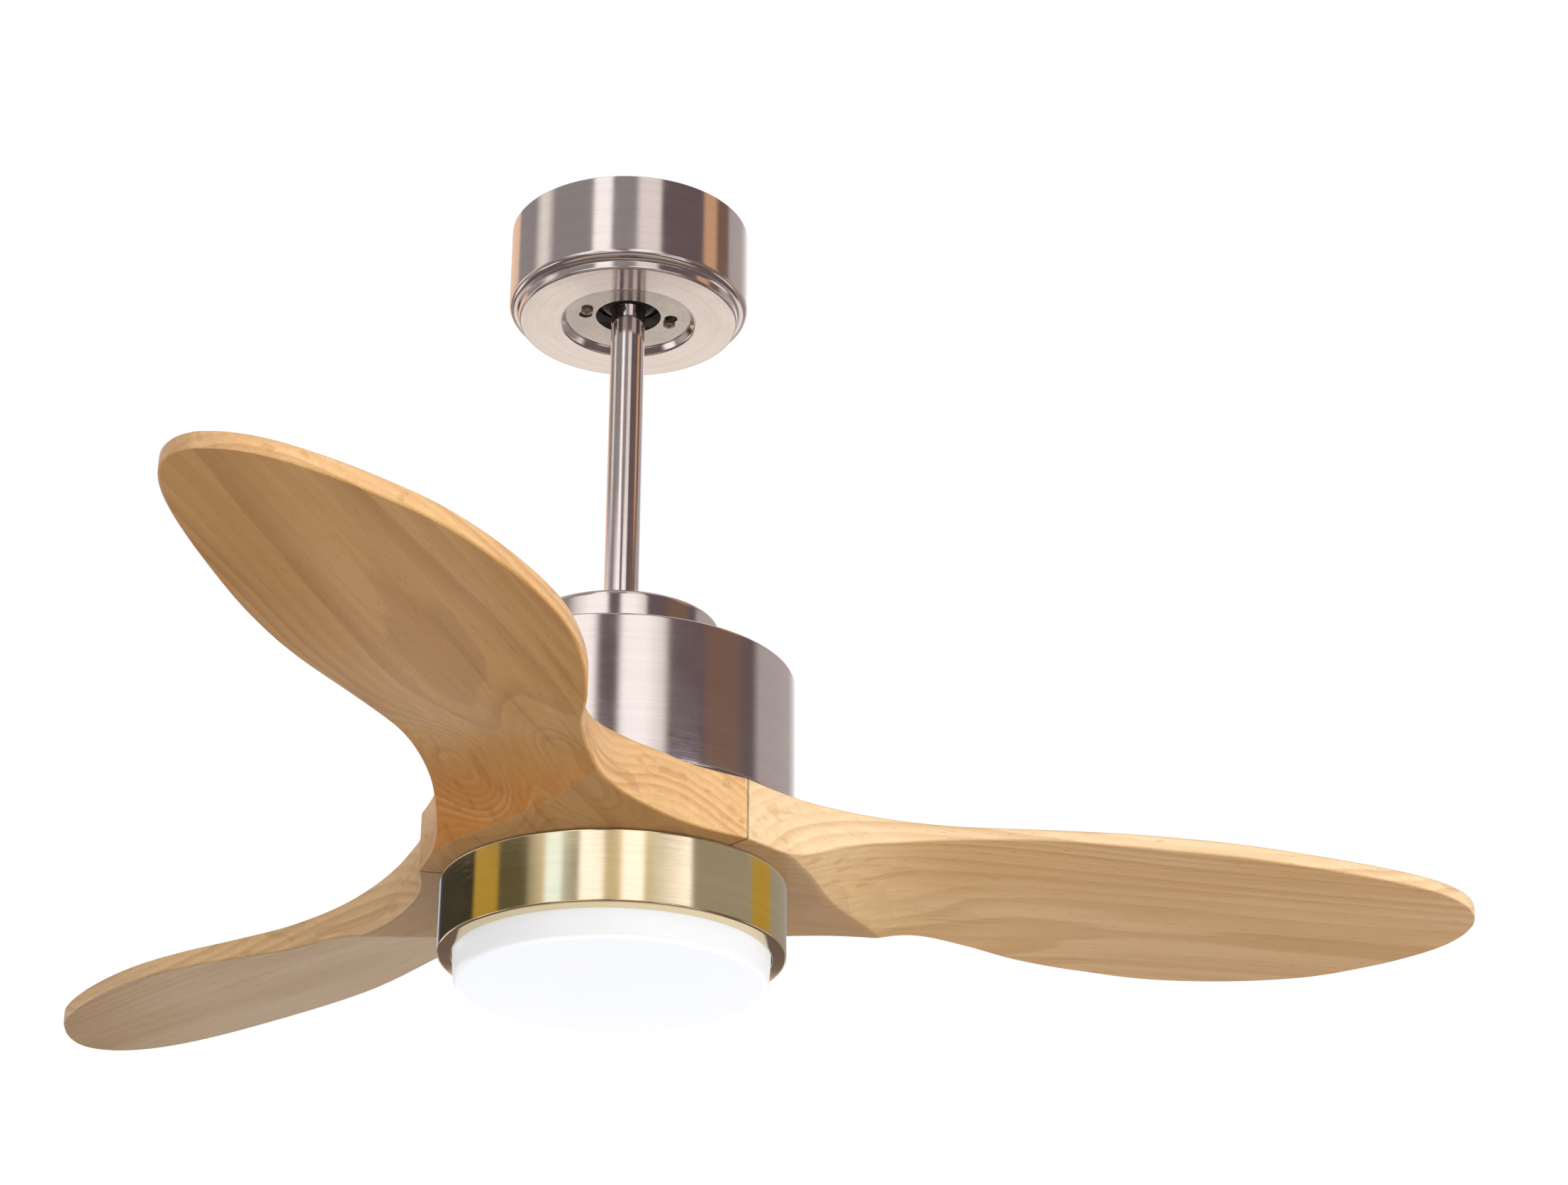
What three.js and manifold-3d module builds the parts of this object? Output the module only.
// Ceiling fan with light: a canopy and hanger ball at the ceiling, a downrod, a motor in a drum housing,
// three carved wooden blades mitred together at the hub, and a round light kit below them.
// Millimetres, +Z up. The origin is the middle of the hanger bracket's top face, on the ceiling plane.
import * as THREE from 'three'
import { mergeVertices } from 'three/addons/utils/BufferGeometryUtils.js'
import Module from 'manifold-3d'

const wasm = await Module()
wasm.setup()

// ---------------------------------------------------------------- driving dimensions
const GAP = 0.3                    // clearance between pieces that rest on each other
const BIG_SIDES = 32               // sides of the large round covers
const RING_SIDES = 24              // sides of the large pieces inside them
const SMALL_SIDES = 16             // sides of shafts, rings and bearings
const SCREW_SIDES = 8              // sides of screws and pins

const BLADE_COUNT = 3
const SWEEP_RADIUS = 660           // hub centre to blade tip: a 132 cm fan
const SEAM_RADIUS = 139.5          // hub centre to the outer end of each mitred blade joint
const HUB_FLAT = 20                // distance from the fan's axis to each blade's inner end
const HUB_THICKNESS = 44.4         // wood thickness at the hub

const CANOPY_RADIUS = 91.8
const CANOPY_HEIGHT = 77
const ROD_RADIUS = 12.9
const ROD_BORE_RADIUS = 11.1
const COLLAR_RADIUS = 73.3
const HOUSING_RADIUS = 129
const LIGHT_RADIUS = 123.1
const DIFFUSER_RADIUS = 112.5
const DIFFUSER_DROP = 21           // how far the diffuser stands below the light ring

// heights along the fan's axis, from the ceiling down
const CANOPY_TOP = -1
const CANOPY_BOTTOM = -CANOPY_HEIGHT
const BALL_CENTRE = -39.6
const COLLAR_TOP = -336.7
const HOUSING_TOP = -380.8
const HOUSING_BOTTOM = -490.4
const WOOD_TOP = -493.5
const WOOD_BOTTOM = WOOD_TOP - HUB_THICKNESS
const LIGHT_TOP = -541.6
const LIGHT_BOTTOM = -592
const DIFFUSER_BOTTOM = LIGHT_BOTTOM - DIFFUSER_DROP

const BALL_RADIUS = 30
const SHEET = 1.5                  // pressed steel and spun covers

// ---------------------------------------------------------------- finishes
const finish = (color, roughness, metalness) =>
  new THREE.MeshStandardMaterial({ color, roughness, metalness })
const nickel = () => finish(0xb9b2a8, 0.32, 1)
const brass = () => finish(0xa08a58, 0.35, 1)
const zincSteel = () => finish(0xa9adb0, 0.4, 1)
const castAluminium = () => finish(0xb4b6b8, 0.55, 1)
const honeyWood = () => finish(0xc89a66, 0.5, 0)
const blackNylon = () => finish(0x141414, 0.3, 0)
const copper = () => finish(0xb4662f, 0.4, 1)

// ---------------------------------------------------------------- solids
// A three.js geometry as a closed solid with its faces pointing out.
function toSolid(geometry) {
  const bare = geometry.index ? geometry.toNonIndexed() : geometry.clone()
  bare.deleteAttribute('normal')
  bare.deleteAttribute('uv')
  const merged = mergeVertices(bare, 1e-4)
  const points = merged.attributes.position.array
  const corners = []
  let volume = 0
  const a = new THREE.Vector3()
  const b = new THREE.Vector3()
  const c = new THREE.Vector3()
  for (let i = 0; i < merged.index.count; i += 3) {
    const [p, q, r] = [0, 1, 2].map((k) => merged.index.getX(i + k))
    if (p === q || q === r || r === p) continue
    corners.push(p, q, r)
    a.fromArray(points, 3 * p)
    b.fromArray(points, 3 * q)
    c.fromArray(points, 3 * r)
    volume += a.dot(b.cross(c))
  }
  if (volume < 0) corners.reverse()
  const mesh = new wasm.Mesh({
    numProp: 3,
    vertProperties: Float32Array.from(points),
    triVerts: Uint32Array.from(corners),
  })
  return new wasm.Manifold(mesh)
}

function toGeometry(solid) {
  const mesh = solid.getMesh()
  const geometry = new THREE.BufferGeometry()
  geometry.setAttribute('position', new THREE.BufferAttribute(mesh.vertProperties.slice(), 3))
  geometry.setIndex(new THREE.BufferAttribute(mesh.triVerts.slice(), 1))
  geometry.computeVertexNormals()
  return geometry
}

const join = (...solids) => solids.reduce((sum, piece) => sum.add(piece))
const cut = (body, ...tools) => tools.reduce((rest, tool) => rest.subtract(tool), body)
const degrees = THREE.MathUtils.degToRad
const polar = (radius, angle) => [radius * Math.cos(degrees(angle)), radius * Math.sin(degrees(angle))]
const place = (geometry, x, y, z) => geometry.translate(x, y, z)

// An outline of [radius, height] pairs turned round the fan's axis.
function turned(outline, sides = BIG_SIDES) {
  const closed = [...outline, outline[0]].map(([r, z]) => new THREE.Vector2(Math.max(r, 0), z))
  return toSolid(new THREE.LatheGeometry(closed, sides).rotateX(Math.PI / 2))
}

const ring = (inner, outer, low, high, sides) =>
  turned([[inner, low], [outer, low], [outer, high], [inner, high]], sides)

// An upright cylinder between two heights, standing at x, y.
function post(radius, low, high, x = 0, y = 0, sides = SCREW_SIDES) {
  const geometry = new THREE.CylinderGeometry(radius, radius, high - low, sides).rotateX(Math.PI / 2)
  return toSolid(place(geometry, x, y, (low + high) / 2))
}

// A cylinder lying along direction (angle in the horizontal plane), centred at [x, y, z].
function lyingRod(radius, length, angle, [x, y, z], sides = SCREW_SIDES) {
  const geometry = new THREE.CylinderGeometry(radius, radius, length, sides)
  geometry.rotateZ(degrees(angle) - Math.PI / 2)
  return toSolid(place(geometry, x, y, z))
}

const ball = (radius, sides, rows, x, y, z) =>
  toSolid(place(new THREE.SphereGeometry(radius, sides, rows).rotateX(Math.PI / 2), x, y, z))
const block = (dx, dy, dz, x, y, z) => toSolid(place(new THREE.BoxGeometry(dx, dy, dz), x, y, z))

// A flat outline (THREE.Shape) raised between two heights.
function plate(shape, low, high, curveSegments = 8) {
  const depth = high - low
  const geometry = new THREE.ExtrudeGeometry(shape, { depth, bevelEnabled: false, curveSegments })
  return toSolid(place(geometry, 0, 0, low))
}

// Points along a quarter-turn fillet from one angle to another, as [radius, height] pairs.
function arc(centre, radius, from, to, steps) {
  return Array.from({ length: steps + 1 }, (_, i) => {
    const angle = degrees(from + ((to - from) * i) / steps)
    return [centre[0] + radius * Math.cos(angle), centre[1] + radius * Math.sin(angle)]
  })
}

const fan = new THREE.Group()
function add(name, solid, material) {
  const mesh = new THREE.Mesh(toGeometry(solid), material)
  mesh.name = name
  fan.add(mesh)
}

// ---------------------------------------------------------------- hanger bracket
const BRACKET_LENGTH = 104
const BRACKET_WIDTH = 56
const BRACKET_SHEET = 2.5
const CRADLE_PLATE_TOP = -57
const CUP_BORE = BALL_RADIUS + 3
const CUP_RADIUS = CUP_BORE + 2.4
const CUP_SIDES = 20
const ENTRY_SLOT = 2 * ROD_RADIUS + 4
const SCREW_CIRCLE = 33
const SCREW_ANGLE = 5              // the two canopy screws stand on this diameter
const CANOPY_SCREW_RADIUS = 2.3

// Zone of a hollow sphere about the hanger ball's centre, between two angles below its equator.
function cupZone(inner, outer, upper, lower, sides) {
  const centre = [0, BALL_CENTRE]
  return turned([...arc(centre, inner, -lower, -upper, 3), ...arc(centre, outer, -upper, -lower, 3)], sides)
}

function hangerBracket() {
  const legHeight = -BRACKET_SHEET - CRADLE_PLATE_TOP + 1
  const legX = (BRACKET_LENGTH - BRACKET_SHEET) / 2
  const topPlate = block(BRACKET_LENGTH, BRACKET_WIDTH, BRACKET_SHEET, 0, 0, -BRACKET_SHEET / 2)
  const legs = [-1, 1].map((side) =>
    block(BRACKET_SHEET, BRACKET_WIDTH - 16, legHeight,
      side * legX, 0, -BRACKET_SHEET - legHeight / 2 + 0.5))
  const plateZ = CRADLE_PLATE_TOP - BRACKET_SHEET / 2
  const cradlePlate = block(BRACKET_LENGTH, BRACKET_WIDTH + 8, BRACKET_SHEET, 0, 0, plateZ)
  const cup = cupZone(CUP_BORE - 1, CUP_RADIUS, 12, 34, CUP_SIDES)
  const ballSpace = ball(CUP_BORE, CUP_SIDES, 16, 0, 0, BALL_CENTRE)
  const entry = block(ENTRY_SLOT, 60, 20, 0, -30, -60)
  const fixings = [-34, 34].map((x) => {
    const slot = new THREE.Shape()
    slot.absarc(x, 8, 3, 0, Math.PI)
    slot.absarc(x, -8, 3, Math.PI, 2 * Math.PI)
    return plate(slot, -BRACKET_SHEET - 1, 1, 4)
  })
  const wireHole = post(8, -BRACKET_SHEET - 1, 1, 16, 14, 12)
  const tapped = [SCREW_ANGLE, SCREW_ANGLE + 180].map((angle) =>
    post(CANOPY_SCREW_RADIUS + GAP, -70, -50, ...polar(SCREW_CIRCLE, angle)))
  return cut(join(topPlate, ...legs, cradlePlate, cup), ballSpace, entry, ...fixings, wireHole, ...tapped)
}
add('hanger_bracket', hangerBracket(), zincSteel())

// ---------------------------------------------------------------- canopy
const STEP_RADIUS = 84.1           // the narrower band under the canopy's rounded shoulder
const STEP_HEIGHT = 7.5
const RECESS_RADIUS = 48.2
const RECESS_DEPTH = 6
const BALL_HOLE_RADIUS = 25.2
const RECESS_FLOOR = CANOPY_BOTTOM + RECESS_DEPTH
const SHOULDER = CANOPY_BOTTOM + STEP_HEIGHT
const CORNER = 5
const KEYHOLE_TURN = 13            // the wide end of each keyhole lies this far clockwise of its screw

function canopy() {
  const outside = [
    [CANOPY_RADIUS, CANOPY_TOP],
    ...arc([CANOPY_RADIUS - CORNER, SHOULDER + CORNER], CORNER, 0, -90, 2),
    [STEP_RADIUS, SHOULDER],
    ...arc([STEP_RADIUS - 1, CANOPY_BOTTOM + 1], 1, 0, -90, 1),
    ...arc([RECESS_RADIUS + 2, CANOPY_BOTTOM + 2], 2, -90, -180, 1),
    [RECESS_RADIUS, RECESS_FLOOR],
    [BALL_HOLE_RADIUS, RECESS_FLOOR],
  ]
  const inside = [
    [BALL_HOLE_RADIUS, RECESS_FLOOR + SHEET],
    [RECESS_RADIUS + SHEET, RECESS_FLOOR + SHEET],
    [RECESS_RADIUS + SHEET + 1, CANOPY_BOTTOM + SHEET],
    [STEP_RADIUS - SHEET, CANOPY_BOTTOM + SHEET],
    [STEP_RADIUS - SHEET, SHOULDER + SHEET],
    [CANOPY_RADIUS - CORNER, SHOULDER + SHEET],
    [CANOPY_RADIUS - SHEET, SHOULDER + CORNER],
    [CANOPY_RADIUS - SHEET, CANOPY_TOP],
  ]
  const keyholes = [SCREW_ANGLE, SCREW_ANGLE + 180].flatMap((angle) => {
    const slot = new THREE.Shape()
    const half = CANOPY_SCREW_RADIUS + 0.4
    slot.absarc(0, 0, SCREW_CIRCLE + half, degrees(angle - KEYHOLE_TURN), degrees(angle), false)
    slot.absarc(...polar(SCREW_CIRCLE, angle), half, degrees(angle), degrees(angle + 180), false)
    slot.absarc(0, 0, SCREW_CIRCLE - half, degrees(angle), degrees(angle - KEYHOLE_TURN), true)
    const wideEnd = polar(SCREW_CIRCLE, angle - KEYHOLE_TURN)
    const wide = post(5.2, RECESS_FLOOR - 2, RECESS_FLOOR + 4, ...wideEnd, 12)
    return [plate(slot, RECESS_FLOOR - 2, RECESS_FLOOR + 4, 4), wide]
  })
  return cut(turned([...outside, ...inside]), ...keyholes)
}
add('canopy', canopy(), nickel())

// A round-headed screw. Its head stands on the height given and points up (1) or down (-1).
function screw([x, y], underHead, direction, length, shank, headRadius, headHeight) {
  const at = (distance) => underHead + direction * distance
  return turned([
    [0, at(headHeight)], [headRadius * 0.65, at(headHeight)], [headRadius, at(headHeight * 0.5)],
    [headRadius, underHead], [shank, underHead], [shank, at(-length)], [0, at(-length)],
  ], SCREW_SIDES).translate(x, y, 0)
}
;['a', 'b'].forEach((letter, i) => {
  const spot = polar(SCREW_CIRCLE, SCREW_ANGLE + 180 * i)
  const body = screw(spot, RECESS_FLOOR - GAP, -1, 14, CANOPY_SCREW_RADIUS, 4.6, 3)
  add(`canopy_screw_${letter}`, body, zincSteel())
})

// ---------------------------------------------------------------- receiver and wiring inside the canopy
const RECEIVER_Y = 50
function receiver() {
  const shape = new THREE.Shape()
  const [halfX, halfY, round] = [34, 13, 4]
  shape.moveTo(-halfX + round, -halfY)
  shape.absarc(halfX - round, -halfY + round, round, -Math.PI / 2, 0)
  shape.absarc(halfX - round, halfY - round, round, 0, Math.PI / 2)
  shape.absarc(-halfX + round, halfY - round, round, Math.PI / 2, Math.PI)
  shape.absarc(-halfX + round, -halfY + round, round, Math.PI, 1.5 * Math.PI)
  const body = plate(shape, -40, -4, 3).translate(0, RECEIVER_Y, 0)
  const tab = block(24, 18, 3, 0, RECEIVER_Y - 19, -BRACKET_SHEET - GAP - 1.5)
  return join(body, tab)
}
add('receiver_box', receiver(), blackNylon())

function wireConnector(x) {
  const barrel = new THREE.LatheGeometry(
    [[0, -9], [5.5, -9], [6.5, -4], [5.5, 9], [4, 11], [0, 11]].map(([r, z]) => new THREE.Vector2(r, z)), 10)
  return toSolid(place(barrel.rotateX(Math.PI / 2), x, -52, -24))
}
;['live', 'neutral', 'earth'].forEach((wire, i) => {
  const colour = [0xd8641e, 0xe9e4d6, 0x3f8a4a][i]
  add(`wire_connector_${wire}`, wireConnector(-20 + 20 * i), finish(colour, 0.45, 0))
})

// ---------------------------------------------------------------- ball joint
// The seat ring lies in the bracket's cup and the ball lies in the seat ring, so the fan hangs plumb.
const SEAT_BORE = BALL_RADIUS + 0.6
add('ball_seat', cupZone(SEAT_BORE, SEAT_BORE + 1.7, 10, 33, CUP_SIDES), finish(0x2a2c2e, 0.6, 0))

const CROSS_PIN_Z = BALL_CENTRE + 14
const PIN_RADIUS = 3
function hangerBall() {
  const sphere = ball(BALL_RADIUS, CUP_SIDES, 14, 0, 0, BALL_CENTRE)
  const neck = ring(ROD_RADIUS - 1, 15.5, BALL_CENTRE - 29.5, BALL_CENTRE - 20, SMALL_SIDES)
  const bore = post(ROD_RADIUS + GAP, BALL_CENTRE - 40, BALL_CENTRE + 40, 0, 0, SMALL_SIDES)
  const flatTop = block(70, 70, 20, 0, 0, BALL_CENTRE + 24 + 10)
  const pinSlot = block(46, 2 * PIN_RADIUS + 1, 20, 0, 0, CROSS_PIN_Z - PIN_RADIUS - 0.5 + 10)
  const setScrew = lyingRod(2.5, 30, 90, [0, -22, BALL_CENTRE + 6])
  return cut(join(sphere, neck), bore, flatTop, pinSlot, setScrew)
}
add('hanger_ball', hangerBall(), blackNylon())
add('cross_pin', lyingRod(PIN_RADIUS, 42, 0, [0, 0, CROSS_PIN_Z]), zincSteel())
add('ball_set_screw', lyingRod(2.2, 8, 90, [0, -ROD_RADIUS - 5, BALL_CENTRE + 6]), zincSteel())

// ---------------------------------------------------------------- downrod and yoke
const ROD_TOP = BALL_CENTRE + 22
const ROD_BOTTOM = -372
const CLEVIS_PIN_Z = -355
function downrod() {
  const tube = ring(ROD_BORE_RADIUS, ROD_RADIUS, ROD_BOTTOM, ROD_TOP, CUP_SIDES)
  const holes = [CROSS_PIN_Z, CLEVIS_PIN_Z].map((z) => lyingRod(PIN_RADIUS + GAP, 40, 0, [0, 0, z]))
  return cut(tube, ...holes)
}
add('downrod', downrod(), nickel())

const YOKE_RADIUS = 18
const YOKE_TOP = -343
const FLANGE_TOP = HOUSING_TOP - SHEET - GAP
const FLANGE_BOTTOM = FLANGE_TOP - 4
const YOKE_BOTTOM = -394
const SHAFT_RADIUS = 7.5
const HOUSING_SCREW_CIRCLE = 30
const screwAngles = [30, 150, 270]
function yoke() {
  const body = turned([
    [ROD_RADIUS + GAP, YOKE_TOP], [ROD_RADIUS + GAP, ROD_BOTTOM - GAP],
    [SHAFT_RADIUS + GAP, ROD_BOTTOM - GAP],
    [SHAFT_RADIUS + GAP, YOKE_BOTTOM], [YOKE_RADIUS, YOKE_BOTTOM], [YOKE_RADIUS, FLANGE_BOTTOM],
    [38, FLANGE_BOTTOM], [38, FLANGE_TOP], [YOKE_RADIUS, FLANGE_TOP], [YOKE_RADIUS, YOKE_TOP],
  ], SMALL_SIDES)
  const pinHole = lyingRod(PIN_RADIUS + GAP, 50, 0, [0, 0, CLEVIS_PIN_Z])
  const setScrews = [60, 240].map((angle) => lyingRod(2.5, 12, angle, [...polar(18, angle), -366]))
  const tapped = screwAngles.map((angle) => post(2.3, -400, -380, ...polar(HOUSING_SCREW_CIRCLE, angle)))
  return cut(body, pinHole, ...setScrews, ...tapped)
}
add('yoke', yoke(), castAluminium())

function clevisPin() {
  const shank = lyingRod(PIN_RADIUS, 48, 0, [1, 0, CLEVIS_PIN_Z])
  const head = lyingRod(5, 3, 0, [-YOKE_RADIUS - 2.5, 0, CLEVIS_PIN_Z])
  const clipHole = post(1.3, CLEVIS_PIN_Z - 6, CLEVIS_PIN_Z + 6, YOKE_RADIUS + 4, 0)
  return cut(join(shank, head), clipHole)
}
add('clevis_pin', clevisPin(), zincSteel())

// The R-shaped spring clip through the clevis pin's end.
function clevisClip() {
  const x = YOKE_RADIUS + 4
  const bends = [[0, 9], [0, 0], [0, -8], [1.5, -12], [5, -12], [6.5, -8], [5, 0], [6, 8]]
  const path = new THREE.CatmullRomCurve3(bends
    .map(([dx, dz]) => new THREE.Vector3(x + dx, 0, CLEVIS_PIN_Z + dz)))
  const wire = new THREE.Shape()
  wire.absarc(0, 0, 0.9, 0, 2 * Math.PI)
  const options = { steps: 16, extrudePath: path, curveSegments: 3, bevelEnabled: false }
  return toSolid(new THREE.ExtrudeGeometry(wire, options))
}
add('clevis_clip', clevisClip(), zincSteel())
;[60, 240].forEach((angle, i) => {
  add(`yoke_set_screw_${'ab'[i]}`, lyingRod(2.2, 7, angle, [...polar(17.2, angle), -366]), zincSteel())
})

// The lamp's cable runs beside the two pins in the rod and down the hollow shaft. A plug ends it at the top.
const CABLE_RADIUS = 2.6
const CABLE_SIDE = 6.6             // distance from the fan's axis where it passes the pins
const CABLE_BENDS = [-361, -374]
function lampCable() {
  const slant = new THREE.LineCurve3(
    new THREE.Vector3(0, CABLE_SIDE, CABLE_BENDS[0] + 1), new THREE.Vector3(0, 0, CABLE_BENDS[1] - 1))
  const section = new THREE.Shape()
  section.absarc(0, 0, CABLE_RADIUS, 0, 2 * Math.PI)
  const options = { steps: 1, extrudePath: slant, curveSegments: 4 }
  const bend = toSolid(new THREE.ExtrudeGeometry(section, options))
  return join(post(CABLE_RADIUS, CABLE_BENDS[0], -12, 0, CABLE_SIDE), bend,
    post(CABLE_RADIUS, -572, CABLE_BENDS[1]), block(7, 5, 9, 0, CABLE_SIDE, -15))
}
add('lamp_cable', lampCable(), finish(0x2b2b2d, 0.6, 0))

// ---------------------------------------------------------------- covers over the yoke and the motor
function collar() {
  const bottom = HOUSING_TOP + GAP
  const bore = ROD_RADIUS + 0.6
  return turned([
    [COLLAR_RADIUS, bottom], ...arc([COLLAR_RADIUS - 4, COLLAR_TOP - 4], 4, 0, 90, 3), [bore, COLLAR_TOP],
    [bore, COLLAR_TOP - SHEET], [COLLAR_RADIUS - 4, COLLAR_TOP - SHEET],
    [COLLAR_RADIUS - SHEET, COLLAR_TOP - 4], [COLLAR_RADIUS - SHEET, bottom],
  ])
}
add('collar_cover', collar(), nickel())

const LIP = 7                      // the rolled lip turns in this far at the housing's bottom
function housing() {
  const hole = YOKE_RADIUS + 1
  const shell = turned([
    [HOUSING_RADIUS, HOUSING_TOP - 2], [HOUSING_RADIUS - 2, HOUSING_TOP], [hole, HOUSING_TOP],
    [hole, HOUSING_TOP - SHEET], [HOUSING_RADIUS - 2.5, HOUSING_TOP - SHEET],
    [HOUSING_RADIUS - SHEET, HOUSING_TOP - 4], [HOUSING_RADIUS - SHEET, HOUSING_BOTTOM + SHEET + 2],
    [HOUSING_RADIUS - 3, HOUSING_BOTTOM + SHEET], [HOUSING_RADIUS - LIP, HOUSING_BOTTOM + SHEET],
    [HOUSING_RADIUS - LIP, HOUSING_BOTTOM], [HOUSING_RADIUS - 2.5, HOUSING_BOTTOM],
    [HOUSING_RADIUS, HOUSING_BOTTOM + 2.5],
  ])
  const screwHoles = screwAngles.map((angle) => post(2.8, -390, -370, ...polar(HOUSING_SCREW_CIRCLE, angle)))
  return cut(shell, ...screwHoles)
}
add('motor_housing', housing(), nickel())

screwAngles.forEach((angle, i) => {
  const spot = polar(HOUSING_SCREW_CIRCLE, angle)
  add(`housing_screw_${i + 1}`, screw(spot, HOUSING_TOP + GAP, 1, 9, 1.9, 4.2, 3), zincSteel())
})

// ---------------------------------------------------------------- motor: the shaft and stator stand still
const MOTOR_TOP = -402
const MOTOR_BOTTOM = -474
const MOTOR_RADIUS = 76
const SHAFT_TOP = -376
const SHAFT_BOTTOM = -562
const BORE = 4.5                   // the hollow shaft carries the lamp's wires
add('motor_shaft', ring(BORE, SHAFT_RADIUS, SHAFT_BOTTOM, SHAFT_TOP, SMALL_SIDES), zincSteel())

const STATOR_TOP = -422
const STATOR_BOTTOM = -452
const TOOTH_COUNT = 12
const STATOR_RADIUS = 62
// Slotted outline of the stack of steel plates: a round yoke with teeth that widen at the tips.
function statorStack() {
  const shape = new THREE.Shape()
  const pitch = 360 / TOOTH_COUNT
  for (let i = 0; i < TOOTH_COUNT; i += 1) {
    const middle = i * pitch
    const corners = [[34, -11], [34, -5], [56, -3.4], [58, -11], [STATOR_RADIUS, -11],
      [STATOR_RADIUS, 0], [STATOR_RADIUS, 11], [58, 11], [56, 3.4], [34, 5], [34, 11]]
    corners.forEach(([radius, turn], k) => {
      const [x, y] = polar(radius, middle + turn)
      if (i === 0 && k === 0) shape.moveTo(x, y)
      else shape.lineTo(x, y)
    })
  }
  const bore = new THREE.Path()
  bore.absarc(0, 0, SHAFT_RADIUS + GAP, 0, 2 * Math.PI, true)
  shape.holes.push(bore)
  return plate(shape, STATOR_BOTTOM, STATOR_TOP, 6)
}
add('stator_core', statorStack(), finish(0x6d7073, 0.5, 1))

// The end turns of the coils, one bulge for each tooth.
function endTurns(low, high) {
  const outer = new THREE.Shape()
  const steps = TOOTH_COUNT * 4
  for (let i = 0; i < steps; i += 1) {
    const [x, y] = polar(52 + 3 * Math.cos((2 * Math.PI * i) / 4), (360 * i) / steps)
    if (i === 0) outer.moveTo(x, y)
    else outer.lineTo(x, y)
  }
  const middle = new THREE.Path()
  middle.absarc(0, 0, 36, 0, 2 * Math.PI, true)
  outer.holes.push(middle)
  return plate(outer, low, high, 10)
}
add('windings_upper', endTurns(STATOR_TOP + GAP, STATOR_TOP + 8), copper())
add('windings_lower', endTurns(STATOR_BOTTOM - 8, STATOR_BOTTOM - GAP), copper())

// ---------------------------------------------------------------- bearings
const INNER_RACE = [SHAFT_RADIUS + GAP, 10.6]
const OUTER_RACE = [15, 18]
const BALL_PITCH = (INNER_RACE[1] + OUTER_RACE[0]) / 2
const BEARING_WIDTH = 10
const BEARING_BALLS = 6
const UPPER_BEARING = MOTOR_TOP - BEARING_WIDTH
const LOWER_BEARING = MOTOR_BOTTOM
function bearingCage(low) {
  const middle = low + BEARING_WIDTH / 2
  const cage = ring(BALL_PITCH - 0.7, BALL_PITCH + 0.7, middle - 1, middle + 1, 12)
  const balls = Array.from({ length: BEARING_BALLS }, (_, i) => {
    const [x, y] = polar(BALL_PITCH, (360 * i) / BEARING_BALLS)
    return ball(1.9, 6, 3, x, y, middle)
  })
  return join(cage, ...balls)
}
for (const [end, low] of [['upper', UPPER_BEARING], ['lower', LOWER_BEARING]]) {
  add(`bearing_inner_${end}`, ring(...INNER_RACE, low, low + BEARING_WIDTH, SMALL_SIDES), zincSteel())
  add(`bearing_outer_${end}`, ring(...OUTER_RACE, low, low + BEARING_WIDTH, SMALL_SIDES), zincSteel())
  add(`bearing_balls_${end}`, bearingCage(low), zincSteel())
}

// ---------------------------------------------------------------- motor: the rotor turns round the stator
const SEAT_RADIUS = OUTER_RACE[1] + GAP
const ROTOR_SPLIT = (MOTOR_TOP + MOTOR_BOTTOM) / 2
const ROTOR_WALL = 4
const ROTOR_BORE = MOTOR_RADIUS - ROTOR_WALL
add('rotor_cup_upper', turned([
  [SEAT_RADIUS, UPPER_BEARING], [SEAT_RADIUS, MOTOR_TOP], [MOTOR_RADIUS - 6, MOTOR_TOP],
  [MOTOR_RADIUS, MOTOR_TOP - 6], [MOTOR_RADIUS, ROTOR_SPLIT + GAP / 2], [ROTOR_BORE, ROTOR_SPLIT + GAP / 2],
  [ROTOR_BORE, MOTOR_TOP - 8], [ROTOR_BORE - 4, MOTOR_TOP - 4], [SEAT_RADIUS + 4, MOTOR_TOP - 4],
  [SEAT_RADIUS + 4, UPPER_BEARING],
], RING_SIDES), castAluminium())

const FLANGE_UNDER = WOOD_TOP + GAP
const BLADE_FLANGE_TOP = -487
const BLADE_FLANGE_RADIUS = 112
const BOSS = [36, 48]
const BOLT_RADIUS = 3
const BOLT_CIRCLE = 62
const BOLT_SPREAD = 26             // each blade's two bolts stand this far either side of its middle
const boltAngles = Array.from({ length: BLADE_COUNT }, (_, i) => i * (360 / BLADE_COUNT))
  .flatMap((angle) => [angle - BOLT_SPREAD, angle + BOLT_SPREAD])
const boltHoles = (radius, low, high) =>
  boltAngles.map((angle) => post(radius, low, high, ...polar(BOLT_CIRCLE, angle)))

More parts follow.
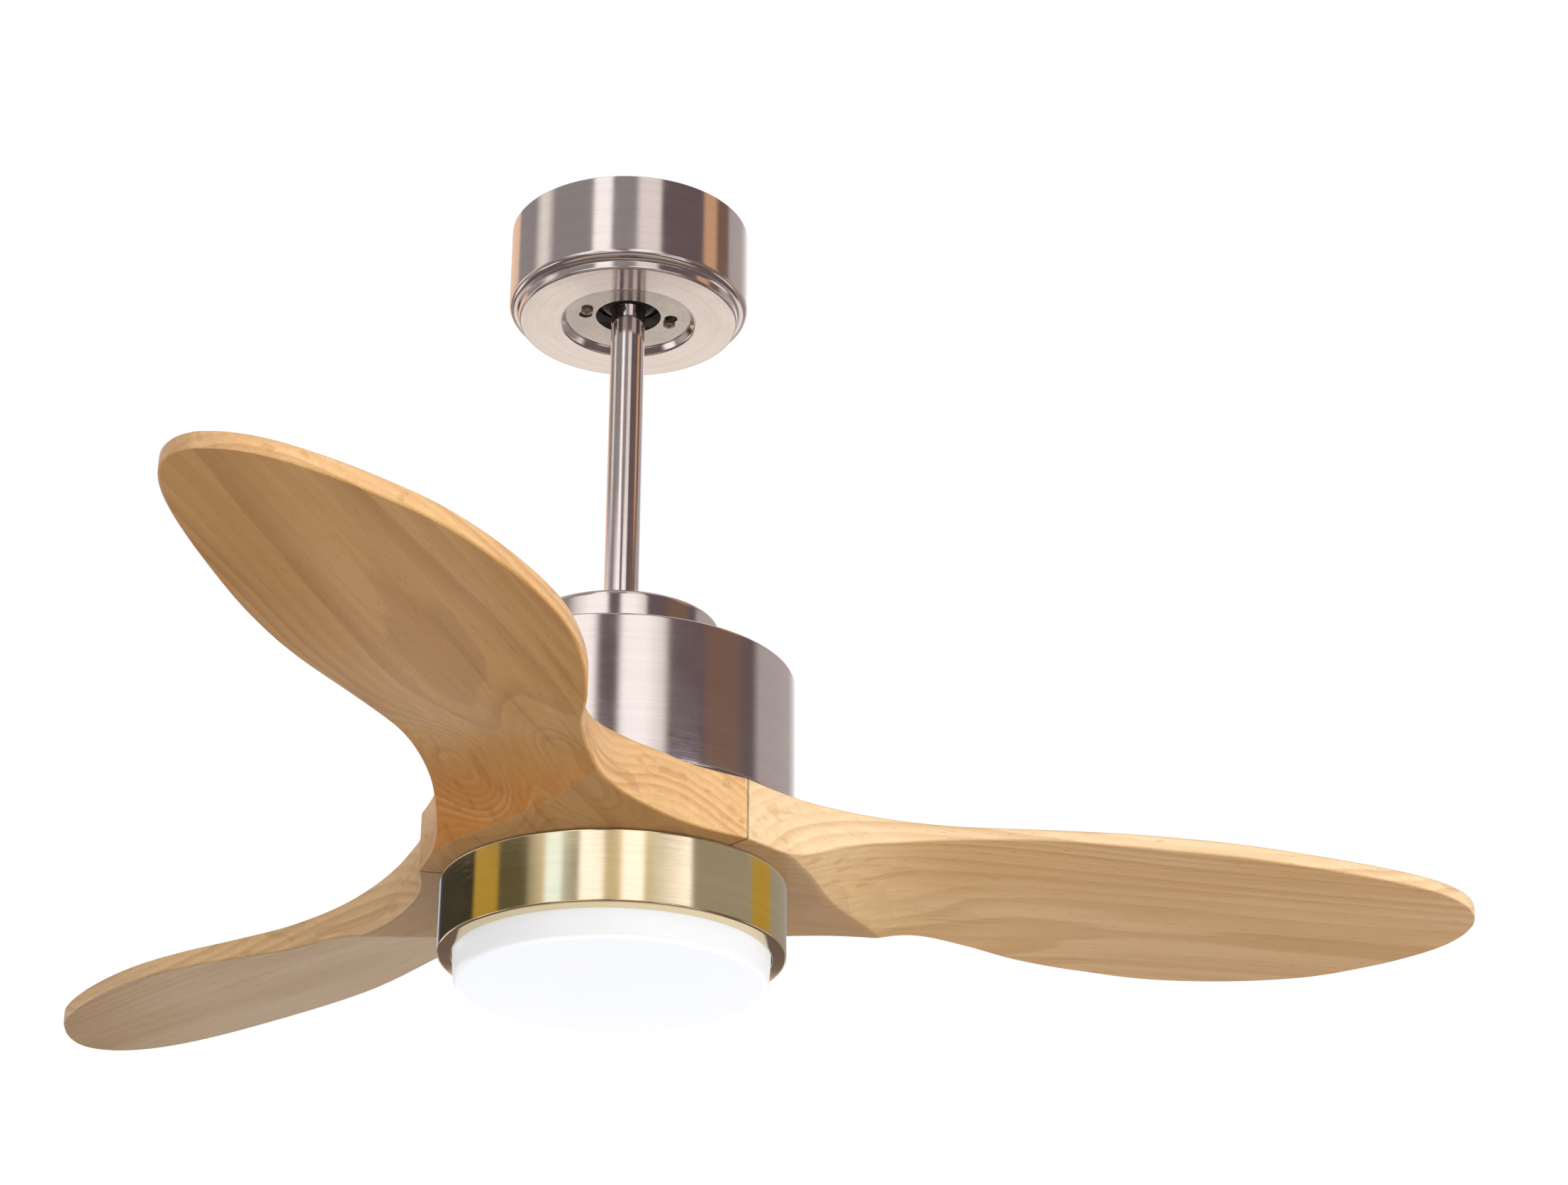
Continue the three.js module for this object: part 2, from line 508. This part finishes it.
// The lower cup: a boss below its disc ends in the flange that the blades hang on.
function lowerCup() {
  const cup = turned([
    [SEAT_RADIUS, MOTOR_BOTTOM], [SEAT_RADIUS, MOTOR_BOTTOM + BEARING_WIDTH],
    [SEAT_RADIUS + 4, MOTOR_BOTTOM + BEARING_WIDTH], [SEAT_RADIUS + 4, MOTOR_BOTTOM + 4],
    [ROTOR_BORE - 4, MOTOR_BOTTOM + 4], [ROTOR_BORE, MOTOR_BOTTOM + 8], [ROTOR_BORE, ROTOR_SPLIT - GAP / 2],
    [MOTOR_RADIUS, ROTOR_SPLIT - GAP / 2], [MOTOR_RADIUS, MOTOR_BOTTOM + 6],
    [MOTOR_RADIUS - 6, MOTOR_BOTTOM],
    [BOSS[1], MOTOR_BOTTOM], [BOSS[1], BLADE_FLANGE_TOP], [BLADE_FLANGE_RADIUS, BLADE_FLANGE_TOP],
    [BLADE_FLANGE_RADIUS, FLANGE_UNDER], [BOSS[0], FLANGE_UNDER], [BOSS[0], MOTOR_BOTTOM],
  ], RING_SIDES)
  return cut(cup, ...boltHoles(BOLT_RADIUS + GAP, -500, -480))
}
add('rotor_cup_lower', lowerCup(), castAluminium())
const magnetRing = ring(STATOR_RADIUS + 1.2, ROTOR_BORE - GAP, -455, -419, RING_SIDES)
add('magnet_ring', magnetRing, finish(0x3b3d40, 0.45, 0.6))

// ---------------------------------------------------------------- blades
const PITCH_TAN = 0.147            // slope of the blade's flat outer part
const BLADE_EASE = 1.2             // eased corners along the blade's edges
const SEAM_GAP = 0.15              // half the gap between two mitred blades
const MITRE = Math.tan(degrees(180 / BLADE_COUNT))

// Smooth curve through hand-set [distance, value] points, read at a distance.
function curveThrough(points) {
  const spline = new THREE.SplineCurve(points.map(([u, value]) => new THREE.Vector2(u, value)))
  const samples = spline.getPoints(points.length * 24)
  return (distance) => {
    const next = samples.findIndex((sample) => sample.x >= distance)
    if (next < 0) return samples[samples.length - 1].y
    if (next === 0) return samples[0].y
    const [a, b] = [samples[next - 1], samples[next]]
    return a.y + ((b.y - a.y) * (distance - a.x)) / (b.x - a.x)
  }
}

// Plan view. The high edge meets the hub's top, the low edge meets the hub's underside.
const SEAM_END = SEAM_RADIUS / 2
const SEAM_HALF = SEAM_END * MITRE
const highEdge = curveThrough([[SEAM_END, -SEAM_HALF], [98, -101], [130, -84], [180, -70], [235, -67],
  [300, -76], [370, -83.5], [440, -84], [510, -77], [570, -67.5], [610, -57], [637, -44], [652, -30],
  [659, -16], [SWEEP_RADIUS, -6]])
const lowEdge = curveThrough([[SEAM_END, SEAM_HALF], [96, 99], [128, 82], [180, 66.5], [232, 65], [282, 76],
  [330, 96], [380, 111], [440, 119], [505, 113], [565, 96], [608, 70], [636, 46], [652, 26], [659, 8],
  [SWEEP_RADIUS, -6]])
// Underside: its height on the blade's own middle line, and how steeply it falls towards the low edge.
const underMiddle = curveThrough([[0, -82], [70, -82], [98, -75], [128, -62], [155, -47.5], [182, -37.5],
  [232, -26], [290, -24.2], [400, -23.5], [660, -22.5]])
const underSlope = curveThrough([[0, 0.3], [120, 0.3], [180, 0.27], [235, 0.222], [285, 0.213], [330, 0.185],
  [375, 0.158], [430, PITCH_TAN], [660, PITCH_TAN]])
// Top: the same two, for the upper surface.
const topMiddle = curveThrough([[0, 38], [70, 38], [100, 31], [130, 22.5], [182, 11], [232, 1], [282, -5.4],
  [330, -9.7], [380, -11.4], [450, -11.8], [660, -12]])
const topSlope = curveThrough([[0, 0.3], [130, 0.28], [182, 0.25], [235, 0.22], [285, 0.2], [330, 0.17],
  [380, 0.145], [440, 0.138], [660, PITCH_TAN - 0.008]])

// Upper and lower surface heights at a place on the blade, measured from the hub's top face.
const bladeUnder = (u, v) => Math.max(-HUB_THICKNESS, underMiddle(u) - underSlope(u) * v)
const bladeTop = (u, v) => Math.min(0, topMiddle(u) - topSlope(u) * v)

const mitreStations = [HUB_FLAT, 45, SEAM_END]
const freeStations = [86, 104, 124, 146, 172, 200, 232, 270, 312, 358, 408, 460, 510, 556, 594, 622, 640,
  651, 657,
  659.6]
const ACROSS = [0, 0.25, 0.5, 0.75, 1]
function bladeSection(u) {
  const mitred = u <= SEAM_END
  const high = mitred ? -(u * MITRE - 2 * SEAM_GAP) : highEdge(u)
  const low = mitred ? u * MITRE - 2 * SEAM_GAP : lowEdge(u)
  const ease = Math.min(BLADE_EASE, (low - high) / 6)
  const under = (v) => (mitred ? -HUB_THICKNESS : bladeUnder(u, v))
  const top = (v) => (mitred ? 0 : bladeTop(u, v))
  const inset = (t) => low - ease + (high - low + 2 * ease) * t
  return [
    ...ACROSS.map(inset).map((v) => [v, under(v)]),
    [high, under(high) + ease], [high, top(high) - ease],
    ...ACROSS.map((t) => inset(1 - t)).map((v) => [v, top(v)]),
    [low, top(low) - ease], [low, under(low) + ease],
  ].map(([v, z]) => [u, v, z])
}

// Sections joined ring to ring along the blade, with a flat cap at each end.
function blade(angle) {
  const sections = [...mitreStations, ...freeStations].map(bladeSection)
  const count = sections[0].length
  const corners = []
  const face = (...points) => corners.push(...points.flat())
  for (let i = 0; i + 1 < sections.length; i += 1) {
    for (let k = 0; k < count; k += 1) {
      const n = (k + 1) % count
      face(sections[i][k], sections[i][n], sections[i + 1][n])
      face(sections[i][k], sections[i + 1][n], sections[i + 1][k])
    }
  }
  for (const end of [sections[0], sections[sections.length - 1]]) {
    const turnedOver = end === sections[0]
    for (let k = 1; k + 1 < count; k += 1) {
      if (turnedOver) face(end[0], end[k + 1], end[k])
      else face(end[0], end[k], end[k + 1])
    }
  }
  const geometry = new THREE.BufferGeometry()
  geometry.setAttribute('position', new THREE.Float32BufferAttribute(corners, 3))
  const holes = [-BOLT_SPREAD, BOLT_SPREAD].map((turn) =>
    post(BOLT_RADIUS + GAP, -60, 10, ...polar(BOLT_CIRCLE, turn)))
  return cut(toSolid(geometry), ...holes).rotate([0, 0, angle]).translate(0, 0, WOOD_TOP)
}
;['a', 'b', 'c'].forEach((letter, i) => add(`blade_${letter}`, blade((i * 360) / BLADE_COUNT), honeyWood()))

const CLAMP_TOP = WOOD_BOTTOM - GAP
add('clamp_plate', cut(ring(22, 84, CLAMP_TOP - 2, CLAMP_TOP, RING_SIDES),
  ...boltHoles(BOLT_RADIUS + GAP, -545, -530)), zincSteel())
boltAngles.forEach((angle, i) => {
  const length = BLADE_FLANGE_TOP - CLAMP_TOP + 2.5
  const bolt = screw(polar(BOLT_CIRCLE, angle), BLADE_FLANGE_TOP + GAP, 1, length, BOLT_RADIUS, 5.5, 3.2)
  add(`blade_bolt_${i + 1}`, bolt, zincSteel())
})

// ---------------------------------------------------------------- light kit, still under the blades
const LIGHT_WALL = 1.5
const LIGHT_HOLE = 60
const PAN_TOP = LIGHT_TOP - LIGHT_WALL - GAP
const RING_OPENING = DIFFUSER_RADIUS + 0.7
function lightRing() {
  const shell = turned([
    [LIGHT_RADIUS - 1.2, LIGHT_TOP], [LIGHT_HOLE, LIGHT_TOP], [LIGHT_HOLE, LIGHT_TOP - LIGHT_WALL],
    [LIGHT_RADIUS - LIGHT_WALL, LIGHT_TOP - LIGHT_WALL], [LIGHT_RADIUS - LIGHT_WALL, LIGHT_BOTTOM + 4],
    [LIGHT_RADIUS - 4, LIGHT_BOTTOM + 1.5], [RING_OPENING, LIGHT_BOTTOM + 1.5], [RING_OPENING, LIGHT_BOTTOM],
    ...arc([LIGHT_RADIUS - 4, LIGHT_BOTTOM + 4], 4, -90, 0, 3), [LIGHT_RADIUS, LIGHT_TOP - 1.2],
  ])
  return cut(shell, ...screwAngles.map((angle) => post(2.2, -550, -538, ...polar(90, angle))))
}
add('light_ring', lightRing(), brass())

const PAN_THICKNESS = 2
const PAN_BOTTOM = PAN_TOP - PAN_THICKNESS
const HOOK_ANGLES = [0, 120, 240]
const HOOK_SHELF = -588.3          // the diffuser's lugs rest on shelves at this height
function lightPan() {
  const disc = ring(SHAFT_RADIUS + GAP, 116, PAN_BOTTOM, PAN_TOP, RING_SIDES)
  const hooks = HOOK_ANGLES.flatMap((angle) => {
    const legHeight = PAN_TOP - 0.5 - HOOK_SHELF + 2
    const leg = block(2.5, 12, legHeight, 100.7, 0, HOOK_SHELF - 2 + legHeight / 2)
    const shelf = block(9, 12, 2, 104, 0, HOOK_SHELF - 1)
    return [leg, shelf].map((piece) => piece.rotate([0, 0, angle]))
  })
  return cut(join(disc, ...hooks), ...screwAngles.map((angle) => post(1.9, -550, -538, ...polar(90, angle))))
}
add('light_pan', lightPan(), zincSteel())
screwAngles.forEach((angle, i) => {
  add(`light_screw_${i + 1}`, screw(polar(90, angle), PAN_BOTTOM - GAP, -1, 3.5, 1.6, 3.4, 2.2), zincSteel())
})

const hexagon = new THREE.Shape(Array.from({ length: 6 }, (_, i) => new THREE.Vector2(...polar(13, 60 * i))))
const nut = (low, high) =>
  cut(plate(hexagon, low, high), post(SHAFT_RADIUS + GAP, low - 1, high + 1, 0, 0, SMALL_SIDES))
add('shaft_nut_upper', nut(PAN_TOP + GAP, WOOD_BOTTOM - 0.2), zincSteel())
add('shaft_nut_lower', nut(PAN_BOTTOM - GAP - 6, PAN_BOTTOM - GAP), zincSteel())

const DRIVER_BOTTOM = PAN_BOTTOM - GAP - 14
add('led_driver', ring(22, 46, DRIVER_BOTTOM, PAN_BOTTOM - GAP, RING_SIDES), finish(0xe4e4e0, 0.5, 0))

const BOARD_TOP = -574
const BOARD_RADIUS = 98
function ledBoard() {
  const board = ring(16, BOARD_RADIUS, BOARD_TOP - 1.6, BOARD_TOP, RING_SIDES)
  const chips = [[48, 6], [82, 12]].flatMap(([radius, count]) => Array.from({ length: count }, (_, i) => {
    const [x, y] = polar(radius, (360 * i) / count)
    return block(5, 5, 1.6, x, y, BOARD_TOP - 2)
  }))
  const legs = screwAngles.map((angle) => post(3, BOARD_TOP - 0.5, PAN_BOTTOM - GAP, ...polar(74, angle)))
  return join(board, ...chips, ...legs)
}
add('led_board', ledBoard(), finish(0xe9ebea, 0.5, 0.1))

// ---------------------------------------------------------------- diffuser
const DIFFUSER_WALL = 2.4
function diffuser() {
  const top = LIGHT_BOTTOM + 8
  const shell = turned([
    [DIFFUSER_RADIUS, top], [DIFFUSER_RADIUS - 0.4, LIGHT_BOTTOM - 2],
    ...arc([DIFFUSER_RADIUS - 7.5, DIFFUSER_BOTTOM + 5.5], 5.5, -10, -90, 3), [0, DIFFUSER_BOTTOM],
    [0, DIFFUSER_BOTTOM + DIFFUSER_WALL], [DIFFUSER_RADIUS - 7.5, DIFFUSER_BOTTOM + DIFFUSER_WALL],
    [DIFFUSER_RADIUS - 4.5, DIFFUSER_BOTTOM + 4.8], [DIFFUSER_RADIUS - DIFFUSER_WALL, LIGHT_BOTTOM],
    [DIFFUSER_RADIUS - DIFFUSER_WALL, top],
  ])
  const lugs = HOOK_ANGLES.map((angle) =>
    block(8, 14, 2.4, DIFFUSER_RADIUS - 5, 0, HOOK_SHELF + GAP + 1.2).rotate([0, 0, angle]))
  return join(shell, ...lugs)
}
add('diffuser', diffuser(), finish(0xf4f2ec, 0.35, 0))

export default fan
